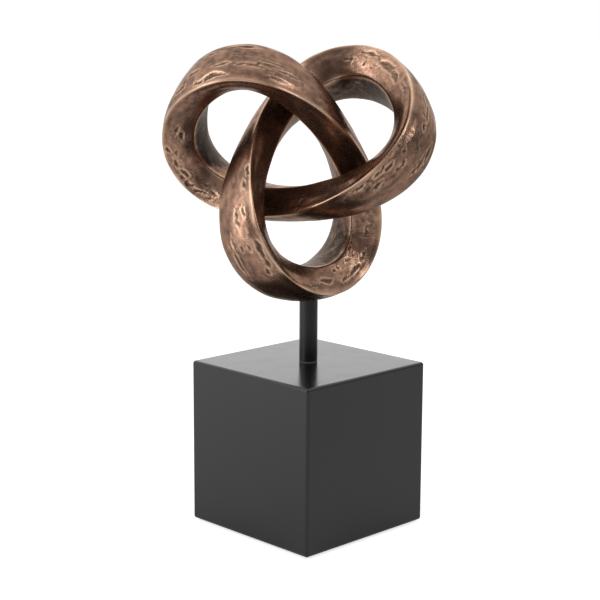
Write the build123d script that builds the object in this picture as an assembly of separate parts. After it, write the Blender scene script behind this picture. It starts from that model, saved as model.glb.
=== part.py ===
from build123d import *
import math
import os

# A bronze trefoil knot on a round stem, standing on a lacquered cube.
# Millimetres and degrees, +Z up, origin at the centre of the underside, the knot facing -Y.

# Cube base and the felt under it
base_side = 114.3
base_edge_radius = 2.0
base_turn = 45.0
felt_thickness = 1.5
felt_inset = 5.0

# Stem tube, the threaded rod inside it and the washer that the knot turns on
stem_diameter = 12.7
stem_bore = 9.0
stem_chamfer = 0.4
stem_show = 42.0
socket_depth = 5.0
socket_clearance = 0.05
rod_diameter = 8.0
rod_grip = 15.0
rod_tail = 3.0
thread_clearance = 0.05
swivel_clearance = 0.1
slip_washer_thickness = 0.8

# Fixings in the recess under the cube
recess_diameter = 30.0
recess_depth = 24.0
flat_washer_diameter = 24.0
flat_washer_thickness = 2.0
spring_washer_diameter = 14.8
spring_washer_thickness = 2.0
spring_washer_split = 1.5
nut_across_flats = 13.0
nut_height = 6.5

# Centreline of the knot: three waves, and how deep the strands weave
core_wave = 27.3
lobe_wave = 58.4
lobe_trim = 1.2
weave_depth = 32.5

# Section of the strand: a rounded diamond between two pairs of ridges. Its front face is flatter
# than the other three: a bulge is 0.5 for a flat face and 0.71 for an ellipse.
long_ridge = 22.2
short_ridge = 15.4
ridge_spread = 70.5
front_bulge = 0.54
face_bulge = 0.63

# How the long ridge turns about the centreline, from 0 outwards to 90 at the front
ridge_angle = 73.0
ridge_swing = 41.0
swing_lead = 2.5
ridge_ripple = 5.5
ripple_lead = 229.0

# How the knot sits on its stem
lean_back = 7.8
roll = -2.5
swivel_turn = 2.1
lobe_shift = -2.8

# Number of sections that the strand is drawn through
section_count = 48

# Heights that follow from the sizes above
base_bottom = felt_thickness
base_top = base_bottom + base_side
stem_foot = base_top + slip_washer_thickness
knot_bottom = base_top + stem_show
socket_floor = knot_bottom + socket_depth
recess_roof = base_bottom + recess_depth
spring_top = recess_roof - flat_washer_thickness
nut_top = spring_top - spring_washer_thickness
nut_bottom = nut_top - nut_height
rod_bottom = nut_bottom - rod_tail
rod_top = socket_floor + rod_grip


def disc(diameter, low, high):
    """Upright cylinder on the stem's axis, between two heights."""
    return Pos(0, 0, low) * Cylinder(
        diameter / 2, high - low, align=(Align.CENTER, Align.CENTER, Align.MIN)
    )


def ring(outer, inner, low, high):
    """Upright cylinder on the stem's axis with a plain hole."""
    return disc(outer, low, high) - disc(inner, low, high)


def centreline(t):
    """Point of the knot's centreline: two turns about the centre, three waves in depth."""
    across = core_wave * math.sin(t) + lobe_wave * math.sin(2 * t) + lobe_trim * math.sin(4 * t)
    up = core_wave * math.cos(t) - lobe_wave * math.cos(2 * t) + lobe_trim * math.cos(4 * t)
    return Vector(across, -weave_depth * math.sin(3 * t), up)


def heading(t):
    """Direction of the centreline, the derivative of the formula above."""
    across = core_wave * math.cos(t) + 2 * lobe_wave * math.cos(2 * t) + 4 * lobe_trim * math.cos(4 * t)
    up = -core_wave * math.sin(t) + 2 * lobe_wave * math.sin(2 * t) - 4 * lobe_trim * math.sin(4 * t)
    return Vector(across, -3 * weave_depth * math.cos(3 * t), up).normalized()


def strand_section(t):
    """Closed outline of the strand: four arcs between its four ridges, square to the centreline."""
    along = heading(t)
    outwards = Vector(along.Z, 0, -along.X).normalized()
    forwards = outwards.cross(along)
    swing = ridge_swing * math.sin(3 * t + math.radians(swing_lead))
    ripple = ridge_ripple * math.sin(6 * t + math.radians(ripple_lead))
    first = math.radians(ridge_angle + swing + ripple)
    second = first + math.radians(ridge_spread)
    long_arm = (outwards * math.cos(first) + forwards * math.sin(first)) * long_ridge
    short_arm = (outwards * math.cos(second) + forwards * math.sin(second)) * short_ridge
    middle = centreline(t)
    arms = [long_arm, short_arm, -long_arm, -short_arm]
    bulges = [front_bulge, face_bulge, face_bulge, face_bulge]
    sides = []
    for arm, following, bulge in zip(arms, arms[1:] + arms[:1], bulges):
        crown = middle + (arm + following) * bulge
        sides.append(ThreePointArc(middle + arm, crown, middle + following))
    return Wire(sides)


def knot_casting():
    """The whole knot as one closed strand, leaned and rolled, with its lowest lobe on the stem."""
    sections = [strand_section(2 * math.pi * i / section_count) for i in range(section_count)]
    strand = Solid.make_loft(sections + sections[:1])
    lobe = centreline(math.pi)
    for axis, angle in ((Axis.Y, roll), (Axis.X, -lean_back), (Axis.Z, swivel_turn)):
        strand = strand.rotate(axis, angle)
        lobe = lobe.rotate(axis, angle)
    drop = knot_bottom - strand.bounding_box().min.Z
    strand = Pos(lobe_shift - lobe.X, -lobe.Y, drop) * strand
    socket = disc(stem_diameter + 2 * socket_clearance, base_top, socket_floor)
    hole = disc(rod_diameter + 2 * thread_clearance, base_top, rod_top + thread_clearance)
    return strand - socket - hole


def cube_base():
    """Lacquered block, corner to the front, drilled through and recessed from below."""
    block = Pos(0, 0, base_bottom) * Box(
        base_side, base_side, base_side, align=(Align.CENTER, Align.CENTER, Align.MIN)
    )
    block = fillet(block.edges(), base_edge_radius)
    block -= disc(rod_diameter + 2 * swivel_clearance, base_bottom, base_top)
    block -= disc(recess_diameter, base_bottom, recess_roof)
    return Rot(0, 0, base_turn) * block


def felt_sheet():
    """Square of felt glued under the block, covering the recess."""
    side = base_side - 2 * felt_inset
    return Rot(0, 0, base_turn) * Box(
        side, side, felt_thickness, align=(Align.CENTER, Align.CENTER, Align.MIN)
    )


def stem_tube():
    """Round tube from the slip washer up into the knot's socket."""
    tube = ring(stem_diameter, stem_bore, stem_foot, socket_floor)
    rims = tube.edges().filter_by(GeomType.CIRCLE).sort_by(SortBy.RADIUS)[-2:]
    return chamfer(rims, stem_chamfer)


def threaded_rod():
    """Rod screwed into the knot, down through the tube and the block to the nut."""
    return disc(rod_diameter, rod_bottom, rod_top)


def slip_washer():
    """Thin washer that the stem turns on, as wide as the stem."""
    return ring(stem_diameter, rod_diameter + 2 * swivel_clearance, base_top, stem_foot)


def flat_washer():
    """Wide washer that spreads the nut's pull on the roof of the recess."""
    hole = rod_diameter + 2 * thread_clearance
    return ring(flat_washer_diameter, hole, spring_top, recess_roof)


def spring_washer():
    """Split ring, pressed flat, that keeps the swivel's friction."""
    washer = ring(spring_washer_diameter, rod_diameter + 2 * thread_clearance, nut_top, spring_top)
    split = Pos(spring_washer_diameter / 2, 0, nut_top) * Box(
        spring_washer_diameter,
        spring_washer_split,
        spring_washer_thickness,
        align=(Align.CENTER, Align.CENTER, Align.MIN),
    )
    return washer - split


def hex_nut():
    """Plain hexagon nut on the rod's lower end."""
    outline = RegularPolygon(nut_across_flats / 2, 6, major_radius=False)
    nut = Pos(0, 0, nut_bottom) * extrude(outline, nut_height)
    return nut - disc(rod_diameter + 2 * thread_clearance, nut_bottom, nut_top)


pieces = {
    "knot": knot_casting(),
    "stem_tube": stem_tube(),
    "threaded_rod": threaded_rod(),
    "slip_washer": slip_washer(),
    "cube_base": cube_base(),
    "felt_sheet": felt_sheet(),
    "flat_washer": flat_washer(),
    "spring_washer": spring_washer(),
    "hex_nut": hex_nut(),
}
os.makedirs("parts", exist_ok=True)
for name, piece in pieces.items():
    export_step(piece, f"parts/{name}.step")
    size = piece.bounding_box().size
    print(f"{name}: {piece.volume / 1000:.2f} cm3, {size.X:.1f} x {size.Y:.1f} x {size.Z:.1f} mm")
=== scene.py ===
# %% [markdown]
# # A cast knot on a black cube
# The object is a table ornament: one closed strand of bronze-coloured metal, tied in a trefoil knot, on
# a slim black stem that stands on a lacquered cube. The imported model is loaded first, because every
# piece made here takes its place from it. Working in the model's own frame means that nothing has to be
# fitted afterwards.

# %% Load the frame
import math

import bpy
import numpy as np
from mathutils import Matrix, Vector


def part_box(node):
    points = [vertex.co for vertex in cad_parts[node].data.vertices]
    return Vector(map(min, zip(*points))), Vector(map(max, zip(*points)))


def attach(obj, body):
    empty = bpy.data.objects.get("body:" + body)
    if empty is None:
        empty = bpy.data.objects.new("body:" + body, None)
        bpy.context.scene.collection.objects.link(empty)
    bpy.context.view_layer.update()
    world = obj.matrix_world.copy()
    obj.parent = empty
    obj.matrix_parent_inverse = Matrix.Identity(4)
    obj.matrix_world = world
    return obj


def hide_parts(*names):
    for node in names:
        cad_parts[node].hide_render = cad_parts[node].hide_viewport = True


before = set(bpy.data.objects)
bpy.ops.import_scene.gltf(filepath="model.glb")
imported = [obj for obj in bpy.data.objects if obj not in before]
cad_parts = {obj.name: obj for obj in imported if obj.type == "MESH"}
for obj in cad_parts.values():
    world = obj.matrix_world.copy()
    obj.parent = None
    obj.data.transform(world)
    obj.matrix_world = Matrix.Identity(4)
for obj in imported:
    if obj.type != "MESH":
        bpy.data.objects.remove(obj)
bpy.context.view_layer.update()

MM = 0.001


# %% [markdown]
# ## Small helpers
# Colours are written as the eye reads them, in sRGB hex, and turned into the linear values that the
# shaders need. A surface is a grid of points: rows run along the piece and columns around it, and both
# may close on themselves. One function adds a shader node together with its settings and links, so each
# finish below reads as a short list.

# %% Colours, grids and nodes
def linear(hex_colour):
    """Linear RGBA of an sRGB hex colour, by the sRGB transfer curve."""
    srgb = np.array([int(hex_colour[i:i + 2], 16) for i in (1, 3, 5)]) / 255
    rgb = np.where(srgb <= 0.04045, srgb / 12.92, ((srgb + 0.055) / 1.055) ** 2.4)
    return (*rgb.tolist(), 1.0)


def closed_grid_mesh(name, points):
    """Smooth quads over a grid of points (rows, columns, xyz) whose last row and column join the first."""
    rows, columns = points.shape[:2]
    index = np.arange(rows * columns).reshape(rows, columns)
    after = np.roll(index, -1, axis=0)
    faces = np.stack([index, np.roll(index, -1, axis=1), np.roll(after, -1, axis=1), after], axis=-1)
    mesh = bpy.data.meshes.new(name)
    mesh.from_pydata(points.reshape(-1, 3), [], faces.reshape(-1, 4))
    mesh.shade_smooth()
    return mesh


def add_piece(name, mesh):
    """A new object at the origin that holds the mesh."""
    piece = bpy.data.objects.new(name, mesh)
    bpy.context.scene.collection.objects.link(piece)
    return piece


def add_node(tree, kind, settings=None, inputs=None):
    """One node: settings are its properties, and each input takes a value or another node's output."""
    made = tree.nodes.new(kind)
    for name, value in (settings or {}).items():
        setattr(made, name, value)
    for socket, value in (inputs or {}).items():
        if isinstance(value, bpy.types.NodeSocket):
            tree.links.new(value, made.inputs[socket])
        else:
            made.inputs[socket].default_value = value
    return made


def empty_material(name):
    """A material with an empty node tree."""
    material = bpy.data.materials.new(name)
    material.use_nodes = True
    material.node_tree.nodes.clear()
    return material, material.node_tree


# %% [markdown]
# ## The knot's surface
# A trefoil is a closed curve that goes twice round its middle while it weaves three times in depth, so
# sines and cosines of one angle give its centreline. The strand's section is a rounded diamond: four
# arcs between four ridges, the front one flatter, that swing about the centreline three times a lap. A
# tube modifier can't turn its section that way, so the surface is worked out as a grid: one parameter
# runs along the strand, the other round its section.

# %% Centreline and section
core_wave = 27.3
lobe_wave = 58.4
lobe_trim = 1.2
weave_depth = 32.5
long_ridge = 22.2
short_ridge = 15.4
ridge_spread = math.radians(70.5)
front_bulge = 0.54
face_bulge = 0.63
ridge_angle = 73.0
ridge_swing = 41.0
swing_lead = math.radians(2.5)
ridge_ripple = 5.5
ripple_lead = math.radians(229.0)
lean_back = math.radians(7.8)
roll = math.radians(-2.5)
swivel_turn = math.radians(2.1)
rows_along = 860
columns_around = 114
ridge_softness = 0.8


def centreline(t):
    """Points in mm: two turns about the middle in X and Z, three waves in depth along Y."""
    across = core_wave * np.sin(t) + lobe_wave * np.sin(2 * t) + lobe_trim * np.sin(4 * t)
    up = core_wave * np.cos(t) - lobe_wave * np.cos(2 * t) + lobe_trim * np.cos(4 * t)
    return np.stack([across, -weave_depth * np.sin(3 * t), up], axis=-1)


def heading(t):
    """Unit directions of the centreline, from the derivative of its formula."""
    across = core_wave * np.cos(t) + 2 * lobe_wave * np.cos(2 * t) + 4 * lobe_trim * np.cos(4 * t)
    up = -core_wave * np.sin(t) + 2 * lobe_wave * np.sin(2 * t) - 4 * lobe_trim * np.sin(4 * t)
    along = np.stack([across, -3 * weave_depth * np.cos(3 * t), up], axis=-1)
    return along / np.linalg.norm(along, axis=-1, keepdims=True)


def arc_side(start, end, bulge, count):
    """Points of the arc through start, (start + end) * bulge and end, and its length."""
    middle = (start + end) * bulge
    chords = 2 * np.array([middle - start, end - start])
    centre = np.linalg.solve(chords, [middle @ middle - start @ start, end @ end - start @ start])
    first, last = (math.atan2(*(point - centre)[::-1]) for point in (start, end))
    sweep = (last - first) % (2 * math.pi)
    angle = first + sweep * np.arange(count) / count
    radius = np.linalg.norm(start - centre)
    return centre + radius * np.stack([np.cos(angle), np.sin(angle)], axis=-1), radius * sweep


long_arm = np.array([long_ridge, 0.0])
short_arm = short_ridge * np.array([math.cos(ridge_spread), math.sin(ridge_spread)])
corners = [long_arm, short_arm, -long_arm, -short_arm, long_arm]
bulges = [front_bulge, face_bulge, face_bulge, face_bulge]
arc_ends = list(zip(corners, corners[1:], bulges))
lengths = [arc_side(*ends, 2)[1] for ends in arc_ends]
girth = sum(lengths)
front_length, inner_length = lengths[:2]
stops = np.round(columns_around * np.cumsum([0] + lengths) / girth).astype(int)
section = np.concatenate([arc_side(*ends, count)[0] for ends, count in zip(arc_ends, np.diff(stops))])
print(f"section: girth {girth:.1f} mm, {len(section)} points, front face {front_length:.1f} mm wide")


# %% [markdown]
# The ridges of a hand-finished casting are rubbed round. Blurring the section's outline along itself
# does that: its Fourier terms are damped by a bell curve as wide as the rounding. The rows are spaced
# evenly along the strand by turning the running length of the centreline back into its angle.

# %% Lay the strand out and place it
def soften(outline, width):
    """Outline blurred along itself by a bell curve of that width in mm."""
    waves = np.fft.fftfreq(len(outline), 1 / len(outline))
    damping = np.exp(-0.5 * (2 * np.pi * waves * width / girth) ** 2)
    blurred = np.fft.ifft(np.fft.fft(outline[:, 0] + 1j * outline[:, 1]) * damping)
    return np.stack([blurred.real, blurred.imag], axis=-1)


def even_angles(count):
    """Angles that cut the centreline into equal lengths, and the whole length in mm."""
    fine = np.linspace(0, 2 * np.pi, 20001)
    steps = np.linalg.norm(np.diff(centreline(fine), axis=0), axis=1)
    run = np.concatenate([[0], np.cumsum(steps)])
    return np.interp(np.arange(count) / count * run[-1], run, fine), run[-1]


def strand_points(t, outline):
    """Centreline plus the section, its long ridge turned by ridge_angle, its swing and its ripple."""
    along = heading(t)
    outwards = np.stack([along[:, 2], 0 * t, -along[:, 0]], axis=-1)
    outwards /= np.linalg.norm(outwards, axis=-1, keepdims=True)
    forwards = np.cross(outwards, along)
    swing = ridge_swing * np.sin(3 * t + swing_lead) + ridge_ripple * np.sin(6 * t + ripple_lead)
    turn = np.radians(ridge_angle + swing)[:, None]
    first = outwards * np.cos(turn) + forwards * np.sin(turn)
    second = forwards * np.cos(turn) - outwards * np.sin(turn)
    spread = outline[None, :, :1] * first[:, None] + outline[None, :, 1:] * second[:, None]
    return centreline(t)[:, None] + spread


def lean(points):
    """Points in mm turned as the knot sits on its stem: rolled, leaned back, then swivelled."""
    turn = Matrix.Rotation(swivel_turn, 3, "Z") @ Matrix.Rotation(-lean_back, 3, "X")
    return points @ np.array(turn @ Matrix.Rotation(roll, 3, "Y")).T


t, strand_length = even_angles(rows_along)
sharp = lean(strand_points(t, section))
knot_low, knot_high = (np.array(corner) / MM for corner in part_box("knot"))
shift = (knot_low + knot_high - sharp.min(axis=(0, 1)) - sharp.max(axis=(0, 1))) / 2
smooth = lean(strand_points(t, soften(section, ridge_softness))) + shift
print(f"strand: {strand_length:.0f} mm long; CAD box {np.round(knot_high - knot_low, 2)}, "
      f"sharp box {np.round(np.ptp(sharp, axis=(0, 1)), 2)} mm")


# %% [markdown]
# ## The cast skin
# The wax model was worked by hand, so the metal has soft dents, gouges that run along the strand,
# clusters of small pits and scribbled lines. An image of such a skin could be wrapped on, but here it
# is worked out as a height in mm at every grid point, so that it is real shape, and the finish can read
# how deep each point lies. Everything is cut inwards, so the knot never grows past its size.

# %% Random heights that close on themselves
along_mm = np.arange(rows_along)[:, None] / rows_along * strand_length
around_mm = np.arange(columns_around)[None, :] / columns_around * girth
along_mm, around_mm = np.broadcast_arrays(along_mm, around_mm)


def rolling(seed, cell_along, cell_around, along=along_mm, around=around_mm):
    """Gradient noise, about -1 to 1: slopes at the corners of a lattice, blended by a quintic ease."""
    cells = round(strand_length / cell_along), max(3, round(girth / cell_around))
    slopes = np.random.default_rng(seed).uniform(0, 2 * np.pi, cells)
    x, y = along / strand_length * cells[0], around / girth * cells[1]
    left, low = np.floor(x).astype(int), np.floor(y).astype(int)
    fx, fy = x - left, y - low

    def corner(i, j):
        angle = slopes[(left + i) % cells[0], (low + j) % cells[1]]
        return np.cos(angle) * (fx - i) + np.sin(angle) * (fy - j)

    ease_x, ease_y = (f ** 3 * (f * (6 * f - 15) + 10) for f in (fx, fy))
    near = corner(0, 0) * (1 - ease_x) + corner(1, 0) * ease_x
    far = corner(0, 1) * (1 - ease_x) + corner(1, 1) * ease_x
    return 1.5 * (near * (1 - ease_y) + far * ease_y)


def step(low, high, value):
    """Eased ramp: 0 below low, 1 above high."""
    ramp = np.clip((value - low) / (high - low), 0, 1)
    return ramp * ramp * (3 - 2 * ramp)


# %% [markdown]
# Some marks can be made out one by one, so they are listed: each is an oval hollow with a ragged
# edge and a low lip, given by its place along the strand (the knot's angle in degrees), its place
# around it (mm from the long ridge, negative on the outer dome), its length, its width and its depth in
# mm. Worked patches are listed the same way, with a strength in place of the depth: there the random
# relief below is at its coarsest.

# %% Marks and worked patches, listed one by one
marks = [
    # Upper left lobe: slots above the ridge, streaks on the dome, pits on the front face
    (281, -6.0, 13, 2.6, 0.7), (286, -4.5, 6, 2.0, 0.5), (264, -7.0, 11, 2.2, 0.6), (279, -14, 7, 1.8, 0.4),
    (272, -13, 18, 1.6, 0.3), (266, -18, 14, 1.6, 0.3), (262, -14, 12, 1.6, 0.3), (274, -30, 13, 2.4, 0.6),
    (284, -27, 16, 1.4, 0.4), (288, -15, 8, 3.0, 0.4), (293, -9, 9, 3.0, 0.4), (306, 10, 9, 1.8, 0.4),
    (308, 14, 8, 1.6, 0.4), (314, 4.5, 4, 2.0, 0.6), (315, 9, 6, 1.8, 0.6), (319, 6, 7, 2.2, 0.6),
    (324, 8, 8, 2.4, 0.6), (328, 4, 6, 1.8, 0.5), (334, 6, 9, 1.8, 0.5), (338, 9, 8, 1.8, 0.5),
    # Upper right lobe: a flaked patch on its front, long slots on its outer side
    (74, 6.0, 12, 2.0, 0.5), (82, 11, 10, 1.6, 0.4), (66, 8.5, 14, 6.0, 0.5), (61, 10, 12, 5.0, 0.4),
    (46, -16, 9, 2.4, 0.8), (41.5, -15, 4, 2.6, 0.7), (50, -13, 14, 1.4, 0.4), (37, -28, 10, 1.8, 0.6),
    (33, -25, 12, 1.6, 0.5), (27, -7, 7, 2.8, 0.6), (24, -6, 5, 2.2, 0.5), (33, -8, 4, 2.2, 0.5),
    (22, -12, 8, 2.0, 0.5), (30, -13, 5, 2.0, 0.5), (38, -7, 3, 1.8, 0.4),
    # Bottom lobe: a lump at the top of its left strand, slots below it, a crumpled edge on the right
    (133, -3.5, 6, 2.6, 0.5), (136, -6.5, 6, 2.2, 0.5), (143, -8.5, 5, 2.2, 0.5), (144, -15, 12, 1.8, 0.4),
    (153, -5.5, 9, 3.4, 0.6), (157, -5.5, 8, 2.6, 0.6), (151.5, -18, 2.2, 1.8, 0.5), (152, -12, 4, 2.2, 0.5),
    (160, -9, 5, 2.6, 0.5), (155, -25, 14, 1.8, 0.5), (150, -23, 8, 1.6, 0.4), (195, 8, 14, 2.4, 0.8),
    (190, 8, 8, 1.8, 0.7), (202, 9, 10, 2.0, 0.7), (182, 11, 12, 3.6, 0.4), (196, 17, 6, 2.6, 0.5),
    (188, 17, 4, 2.0, 0.6), (202, 20, 6, 2.4, 0.5), (174, 5, 14, 1.2, 0.3), (213, 11, 10, 1.8, 0.4),
    # Strand that crosses in front, near the middle
    (2.5, 3, 5, 1.8, 0.5), (4, 12, 2.0, 1.8, 0.4), (18, -5, 9, 2.0, 0.5),
]
worked = [
    (283, -6, 30, 9, 0.8), (268, -16, 50, 14, 0.6), (291, -12, 40, 16, 0.5), (275, -30, 30, 8, 0.6),
    (308, 9, 40, 14, 0.5), (318, 7, 34, 14, 0.8), (334, 7, 60, 18, 1.0), (270, 9, 80, 14, 0.35),
    (70, 11, 64, 18, 1.0), (54, 6, 30, 12, 0.8), (45, -14, 45, 14, 0.8), (29, -9, 60, 20, 0.9),
    (35, -26, 50, 9, 0.7), (134, -6, 18, 9, 0.9), (143, -12, 40, 12, 0.8), (156, -8, 36, 14, 0.9),
    (153, -25, 36, 9, 0.6), (197, 13, 64, 20, 1.0), (180, 9, 30, 10, 0.5), (168, 4, 40, 9, 0.4),
    (215, 11, 40, 12, 0.7), (205, 38, 60, 18, 0.6), (3, 5, 20, 9, 0.5), (18, -6, 30, 9, 0.8),
]

wander_along = along_mm + 1.6 * rolling(1, 9, 7) + 0.9 * rolling(2, 4, 3.5)
wander_around = around_mm + 1.2 * rolling(3, 9, 7) + 0.7 * rolling(4, 4, 3.5)


def oval(centre_degrees, centre_around, long_mm, wide_mm):
    """Reach from an oval's centre on the strand, 1 at its ragged edge: offsets over its half-lengths."""
    centre_along = np.interp(math.radians(centre_degrees), t, along_mm[:, 0])
    away = (wander_along - centre_along + strand_length / 2) % strand_length - strand_length / 2
    aside = (wander_around - centre_around + girth / 2) % girth - girth / 2
    return np.hypot(away / (long_mm / 2), aside / (wide_mm / 2))


cut = np.zeros_like(along_mm)
lip = np.zeros_like(along_mm)
for *where, depth in marks:
    reach = oval(*where)
    cut = np.maximum(cut, depth * (1 - step(0.6, 1.15, reach)))
    lip = np.maximum(lip, depth * step(0.9, 1.25, reach) * (1 - step(1.25, 1.8, reach)))
rough = 0.45 * step(-0.1, 0.7, rolling(5, 48, 24) + 0.4 * rolling(6, 20, 12))
for *where, strength in worked:
    rough = np.maximum(rough, strength * (1 - step(0.55, 1.25, oval(*where))))
print(f"{len(marks)} marks cover {np.mean(cut > 0.2):.1%} of the skin, "
      f"{np.mean(rough > 0.5):.1%} of it is coarse")

# %% [markdown]
# The rest is random, and closes on itself round the strand: soft dents everywhere, and in the coarse
# stretches low terraces like flaked wax, thin creases and small pits. Each is a band or a step cut from
# rolling noise. A shallow flute on each side of the long ridge makes it stand out as a crease, as a
# scraper leaves it.

# %% Dents, terraces, creases and pits
broad_dent = 0.36
small_dent = 0.18
lip_share = 0.25
terrace_drop = 0.10
crease_depth = 0.22
pit_depth = 0.4
flute_depth = 0.45
flute_offset = 4.5
flute_width = 2.5

dents = broad_dent * (1 + rolling(7, 34, 24)) + small_dent * (1 + rolling(19, 14, 10))
flake_field = rolling(8, 15, 8, wander_along, wander_around) + 0.4 * rolling(15, 6, 4)
terraces = sum(step(edge, edge + 0.1, flake_field) for edge in (-0.3, 0.0, 0.3))
crease_field = rolling(10, 15, 6, wander_along, wander_around)
creases = (1 - step(0.02, 0.10, np.abs(crease_field))) * step(0.0, 0.3, rolling(11, 12, 9))
pit_field = rolling(9, 4.6, 3.2, wander_along, wander_around)
pits = step(0.0, 0.22, pit_field - 0.90 + 0.48 * rough)
from_ridge = np.minimum(around_mm, girth - around_mm)
fluting = flute_depth * np.exp(-((from_ridge - flute_offset) / flute_width) ** 2)
worked_relief = terrace_drop * terraces + crease_depth * creases
relief = lip_share * lip - cut - rough * worked_relief - pit_depth * pits
height = np.minimum(0, relief - dents - fluting)
print(f"skin: {np.mean(creases * rough > 0.3):.1%} creased, {np.mean(pits > 0.5):.1%} pitted, "
      f"deepest {-height.min():.2f} mm")

# %% Make the knot
toward_next = np.roll(smooth, -1, axis=0) - np.roll(smooth, 1, axis=0)
around_next = np.roll(smooth, -1, axis=1) - np.roll(smooth, 1, axis=1)
normals = np.cross(around_next, toward_next)
normals /= np.linalg.norm(normals, axis=-1, keepdims=True)
middle = smooth.mean(axis=1, keepdims=True)
outward = np.sign(np.mean(np.sum(normals * (smooth - middle), axis=-1)))
print("normals point outwards:", outward > 0)
knot_mesh = closed_grid_mesh("knot_cast", (smooth + normals * outward * height[..., None]) * MM)


# %% [markdown]
# The finish follows the shape. Rubbing bares the ridges and the rims of the hollows, and their lighter
# colour is also a painted highlight along them. Patina stays in the hollows and in blotches. Inside the
# lobes and where two strands pass close to each other the metal is darker, partly patina and partly
# painted shade. Two patches in front have less patina, as a painted highlight.

# %% Where the metal is rubbed and highlit, and where it is dark with patina and painted shade
def crowding(points, every=4):
    """1 where another stretch of the strand is close, from each point's distance to the far centreline."""
    middles = points.mean(axis=1)[::every]
    lap = np.arange(len(middles))
    apart = np.abs(lap[:, None] - lap[None, :])
    near = np.minimum(apart, len(lap) - apart) < len(lap) / 8
    some = points[::every]
    gap = np.linalg.norm(some[:, :, None] - middles[None, None], axis=-1)
    nearest = np.where(near[:, None, :], np.inf, gap).min(axis=-1)
    return np.repeat(1 - step(17, 34, nearest), every, axis=0)[:len(points)]


def spread(field):
    """Mean of a field over each point and its eight neighbours."""
    return sum(np.roll(field, (i, j), (0, 1)) for i in (-1, 0, 1) for j in (-1, 0, 1)) / 9


short_ridge_distance = np.abs(around_mm - front_length)
on_ridge = np.exp(-(from_ridge / 2.3) ** 2) + 0.6 * np.exp(-(short_ridge_distance / 1.8) ** 2)
standing = (relief - spread(spread(relief))) / 0.14
sunk = np.clip(1.2 * cut + 0.8 * pits + rough * (0.04 * terraces + 0.2 * creases), 0, 1)
# Lighter on the ridges and raised rims: partly rubbed wear, partly a painted highlight along them.
worn_and_highlit = np.clip(on_ridge * (0.75 + 0.5 * rolling(12, 14, 8)) + 0.7 * np.clip(standing, 0, 1), 0, 1)
hollowed = np.clip(0.55 * sunk + 0.35 * np.clip(-standing, 0, 1), 0, 0.8)
blotches = 0.5 * rolling(13, 26, 16) + 0.5 * rolling(14, 10, 7) + 0.4 * rolling(16, 4, 3.2)
streaks = 0.09 * rolling(17, 12, 3.2)
inner_middle = front_length + inner_length / 2
inside = 1 - step(0.30, 0.52, np.abs(around_mm - inner_middle) / inner_length)
crowded = crowding(smooth)
lobe = step(50, 72, np.linalg.norm(centreline(t)[:, ::2], axis=1))[:, None]
# Two front patches with less patina, as a painted highlight there.
upper_patch = 1 - step(0.5, 1.2, oval(68, 10, 64, 24))
lower_patch = 1 - step(0.5, 1.2, oval(197, 14, 56, 20))
painted_highlight = np.maximum(upper_patch, lower_patch)
# Darker inside the lobes and where strands pass close: partly patina, partly painted shade.
sheltered_and_shaded = inside * (0.1 + 0.7 * lobe) + crowded * (0.15 + 0.45 * lobe)
patina_and_painted_light = np.clip(0.37 + 0.45 * blotches + streaks + sheltered_and_shaded - 0.4 * painted_highlight, 0, 1)
finish = np.stack([worn_and_highlit, hollowed, patina_and_painted_light, rough], axis=-1)
print(f"finish: {np.mean(worn_and_highlit > 0.5):.1%} rubbed, {np.mean(hollowed > 0.5):.1%} dark, "
      f"mean patina {patina_and_painted_light.mean():.2f}")
layer = knot_mesh.attributes.new("finish", "FLOAT_COLOR", "POINT")
layer.data.foreach_set("color", finish.astype(np.float32).ravel())
knot = add_piece("knot_cast", knot_mesh)
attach(knot, "sculpture")
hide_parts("knot")
print("knot triangles:", 2 * len(knot_mesh.polygons))
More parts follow.
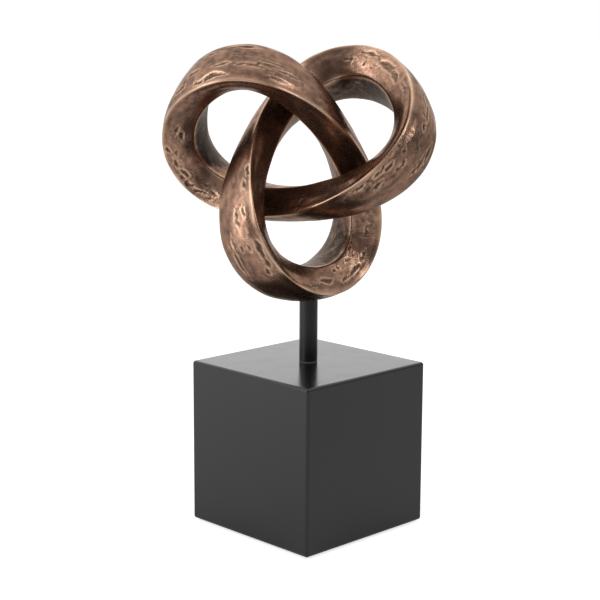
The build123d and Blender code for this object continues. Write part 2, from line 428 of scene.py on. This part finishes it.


# %% [markdown]
# ## Bronze finish
# The casting is coloured with a brown patina, rubbed back on the ridges until bare metal shines, then
# waxed. A mostly metal shader gives the coloured reflections, with a little of the patina's own matt
# brown. The patina darkens it in the hollows, and a thin coat stands for the wax: it gives the pale
# glints, and the grey sheen where the surface turns away from the eye. The colour also holds painted
# light: a painted highlight on the ridges and on two front patches, and painted shade where the strands
# pass close and inside the lobes.

# %% Bronze
def bronze():
    """Patinated cast bronze, bare on its ridges and waxed, with painted highlight and shade in its colour."""
    material, tree = empty_material("patinated_bronze")
    place = add_node(tree, "ShaderNodeTexCoord").outputs["Object"]
    skin = add_node(tree, "ShaderNodeAttribute", {"attribute_name": "finish"}).outputs
    part = add_node(tree, "ShaderNodeSeparateColor", inputs={"Color": skin["Color"]}).outputs
    # Blotches of about 5 mm and a grain of about 1.2 mm, finer than the mesh can carry
    mottle = add_node(tree, "ShaderNodeTexNoise", inputs={
        "Vector": place, "Scale": 1 / (5.0 * MM), "Detail": 4.0, "Roughness": 0.65}).outputs["Fac"]
    grain = add_node(tree, "ShaderNodeTexNoise", inputs={
        "Vector": place, "Scale": 1 / (1.2 * MM), "Detail": 2.0, "Roughness": 0.6}).outputs["Fac"]
    cloud = add_node(tree, "ShaderNodeMapRange", {"clamp": False}, {
        "Value": mottle, "From Min": 0.3, "From Max": 0.7, "To Min": -0.3, "To Max": 0.3}).outputs[0]
    # The patina level, which also carries painted shade between the strands and a painted highlight on two
    # front patches.
    stain_and_painted_light = add_node(tree, "ShaderNodeMath", {"operation": "ADD", "use_clamp": True}, {
        0: part["Blue"], 1: cloud}).outputs[0]
    tone = add_node(tree, "ShaderNodeMix", {"data_type": "RGBA"}, {
        "Factor": stain_and_painted_light, 6: linear("#a37c67"), 7: linear("#2f2723")}).outputs[2]
    # Lighter colour on the ridges: rubbed metal, and a painted highlight along them.
    rubbed_and_highlit = add_node(tree, "ShaderNodeMix", {"data_type": "RGBA"}, {
        "Factor": part["Red"], 6: tone, 7: linear("#e2bb9d")}).outputs[2]
    dark = add_node(tree, "ShaderNodeMix", {"data_type": "RGBA"}, {
        "Factor": part["Green"], 6: rubbed_and_highlit, 7: linear("#372d28")}).outputs[2]
    dull = add_node(tree, "ShaderNodeMapRange", inputs={
        "Value": stain_and_painted_light, "From Min": 0.0, "From Max": 1.0, "To Min": 0.18, "To Max": 0.36}).outputs[0]
    gloss = add_node(tree, "ShaderNodeMix", inputs={"Factor": part["Red"], 2: dull, 3: 0.17}).outputs[0]
    tooth = add_node(tree, "ShaderNodeMapRange", inputs={
        "Value": skin["Alpha"], "From Min": 0.0, "From Max": 1.0, "To Min": 0.15, "To Max": 0.6}).outputs[0]
    bump = add_node(tree, "ShaderNodeBump", inputs={
        "Strength": tooth, "Distance": 0.4 * MM, "Height": grain}).outputs[0]
    shader = add_node(tree, "ShaderNodeBsdfPrincipled", inputs={
        "Base Color": dark, "Metallic": 0.93, "Roughness": gloss, "Normal": bump,
        "Specular Tint": linear("#cdc2b8"),
        "Coat Weight": 0.22, "Coat Roughness": 0.25, "Coat Normal": bump})
    add_node(tree, "ShaderNodeOutputMaterial", inputs={"Surface": shader.outputs[0]})
    return material


knot_mesh.materials.append(bronze())


# %% [markdown]
# ## Black lacquer, black steel and the fixings
# The cube is fibreboard sprayed with black lacquer, a smooth dark dielectric: its sides look charcoal
# and its top mirrors the pale room at a grazing angle. The stem is steel with a satin black coat. Under
# the cube are zinc-plated fixings, and at the stem's foot is a thin nylon washer.

# %% Plain finishes
def coated(name, colour, roughness, swirl_mm, metallic=0.0, bump_mm=0.02, clear_coat=0.0):
    """A sprayed, plated or moulded finish: one colour, with a fine swirl in its gloss and height."""
    material, tree = empty_material(name)
    place = add_node(tree, "ShaderNodeTexCoord").outputs["Object"]
    swirl = add_node(tree, "ShaderNodeTexNoise", inputs={
        "Vector": place, "Scale": 1 / (swirl_mm * MM), "Detail": 2.0}).outputs["Fac"]
    gloss = add_node(tree, "ShaderNodeMapRange", inputs={
        "Value": swirl, "From Min": 0.3, "From Max": 0.7,
        "To Min": roughness * 0.85, "To Max": roughness * 1.15}).outputs[0]
    bump = add_node(tree, "ShaderNodeBump", inputs={
        "Strength": 0.1, "Distance": bump_mm * MM, "Height": swirl}).outputs[0]
    shader = add_node(tree, "ShaderNodeBsdfPrincipled", inputs={
        "Base Color": linear(colour), "Metallic": metallic, "Roughness": gloss, "Normal": bump,
        "Specular IOR Level": 0.4, "Coat Weight": clear_coat, "Coat Roughness": 0.2, "Coat Normal": bump})
    add_node(tree, "ShaderNodeOutputMaterial", inputs={"Surface": shader.outputs[0]})
    return material


def dress(material, *nodes):
    """Gives CAD nodes that material."""
    for name in nodes:
        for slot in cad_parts[name].material_slots:
            slot.material = material
        print(name, "is", material.name)


zinc_nodes = "threaded_rod", "flat_washer", "spring_washer", "hex_nut"
dress(coated("black_lacquer", "#140f14", 0.20, 12.0, clear_coat=0.3), "cube_base")
dress(coated("satin_black_steel", "#100f0e", 0.32, 3.0), "stem_tube")
dress(coated("zinc_plate", "#b9bcc0", 0.35, 2.0, metallic=1.0), *zinc_nodes)
dress(coated("nylon", "#5c5a57", 0.45, 2.0), "slip_washer")
dress(coated("black_felt", "#161616", 0.95, 1.2, bump_mm=0.4), "felt_sheet")


# %% [markdown]
# ## Room, lamps and camera
# A product shot stands on a white sweep between two tall soft lamps, with the dim room behind the
# camera. Rays from the camera see plain white. Glossy rays see a room that is white behind the object
# and dims to the front and right, which is what gives metal its light and dark sides.

# %% World
def studio_world():
    """White to the camera, plain light on matt surfaces, and in gloss a room that dims to front and right."""
    world = bpy.data.worlds.new("studio")
    world.use_nodes = True
    tree = world.node_tree
    tree.nodes.clear()
    ray = add_node(tree, "ShaderNodeLightPath").outputs
    direction = add_node(tree, "ShaderNodeTexCoord").outputs["Generated"]
    depth = add_node(tree, "ShaderNodeVectorMath", {"operation": "DOT_PRODUCT"}, {
        0: direction, 1: (-0.5, 1.0, 1.0)}).outputs["Value"]
    room = add_node(tree, "ShaderNodeMapRange", inputs={
        "Value": depth, "From Min": -0.8, "From Max": 1.3, "To Min": 0.14, "To Max": 1.30}).outputs[0]
    mirrored = add_node(tree, "ShaderNodeMath", {"operation": "ADD", "use_clamp": True}, {
        0: ray["Is Glossy Ray"], 1: ray["Is Transmission Ray"]}).outputs[0]
    plain = add_node(tree, "ShaderNodeMix", inputs={"Factor": mirrored, 2: 0.55, 3: room}).outputs[0]
    level = add_node(tree, "ShaderNodeMix", inputs={
        "Factor": ray["Is Camera Ray"], 2: plain, 3: 1.0}).outputs[0]
    light = add_node(tree, "ShaderNodeBackground", inputs={"Color": linear("#ffffff"), "Strength": level})
    add_node(tree, "ShaderNodeOutputWorld", inputs={"Surface": light.outputs[0]})
    return world


bpy.context.scene.world = studio_world()
bpy.context.scene.view_settings.view_transform = "Standard"


# %% Floor
def floor_finish():
    """Matt white paper over its own shading, lifted to white for the camera and at the left in gloss."""
    material, tree = empty_material("white_paper")
    ray = add_node(tree, "ShaderNodeLightPath").outputs
    place = add_node(tree, "ShaderNodeTexCoord").outputs["Object"]
    across = add_node(tree, "ShaderNodeSeparateXYZ", inputs={"Vector": place}).outputs["X"]
    glow = add_node(tree, "ShaderNodeMapRange", inputs={
        "Value": across, "From Min": -0.6, "From Max": 0.3, "To Min": 0.30, "To Max": 0.06}).outputs[0]
    paper = add_node(tree, "ShaderNodeBsdfDiffuse", inputs={"Color": linear("#f4f4f4")})
    mirrored = add_node(tree, "ShaderNodeMath", {"operation": "ADD", "use_clamp": True}, {
        0: ray["Is Glossy Ray"], 1: ray["Is Transmission Ray"]}).outputs[0]
    in_gloss = add_node(tree, "ShaderNodeMath", {"operation": "MULTIPLY"}, {0: mirrored, 1: glow}).outputs[0]
    lift = add_node(tree, "ShaderNodeMix", inputs={
        "Factor": ray["Is Camera Ray"], 2: in_gloss, 3: 0.7}).outputs[0]
    shine = add_node(tree, "ShaderNodeEmission", inputs={"Color": linear("#ffffff"), "Strength": lift})
    both = add_node(tree, "ShaderNodeAddShader", inputs={0: paper.outputs[0], 1: shine.outputs[0]})
    add_node(tree, "ShaderNodeOutputMaterial", inputs={"Surface": both.outputs[0]})
    return material


floor_half = 6.0
floor_corners = floor_half * np.array([[-1, -1, 0], [1, -1, 0], [1, 1, 0], [-1, 1, 0]])
floor_mesh = bpy.data.meshes.new("floor")
floor_mesh.from_pydata(floor_corners, [], [(0, 1, 2, 3)])
floor_mesh.materials.append(floor_finish())
add_piece("floor", floor_mesh)


# %% Lamps
def strip_lamp(name, azimuth, distance, height, wide, tall, watts):
    """A tall soft lamp beside the object that faces its middle. Azimuth 0 is straight in front."""
    turn = math.radians(azimuth)
    away = Vector((math.sin(turn), -math.cos(turn), 0))
    lamp = bpy.data.lights.new(name, "AREA")
    lamp.shape = "RECTANGLE"
    lamp.size = wide
    lamp.size_y = tall
    lamp.energy = watts
    holder = bpy.data.objects.new(name, lamp)
    holder.location = away * distance + Vector((0, 0, height))
    from_middle = holder.location - Vector((0, 0, 0.2))
    holder.rotation_euler = from_middle.to_track_quat("Z", "Y").to_euler()
    bpy.context.scene.collection.objects.link(holder)


strip_lamp("left_lamp", azimuth=-66, distance=1.0, height=0.45, wide=0.60, tall=0.9, watts=3.3)
strip_lamp("right_lamp", azimuth=58, distance=1.0, height=0.85, wide=0.40, tall=0.7, watts=1.8)


# %% Camera
photo_width = 600
focal_pixels = 1513.8
camera_distance = 1.0436
camera_rise = math.radians(10.82)
camera_turn = math.radians(0.44)
camera_roll = math.radians(0.3)
target = Matrix.Rotation(camera_turn, 3, "Z") @ Vector((-0.00594, 0, 0.159))
lens = bpy.data.cameras.new("camera")
lens.sensor_width = 36.0
lens.lens = lens.sensor_width * focal_pixels / photo_width
camera = bpy.data.objects.new("camera", lens)
away = Matrix.Rotation(camera_turn, 3, "Z") @ Vector((0, -math.cos(camera_rise), math.sin(camera_rise)))
camera.location = target + away * camera_distance
facing = away.to_track_quat("Z", "Y").to_matrix() @ Matrix.Rotation(camera_roll, 3, "Z")
camera.rotation_euler = facing.to_euler()
bpy.context.scene.collection.objects.link(camera)
bpy.context.scene.camera = camera
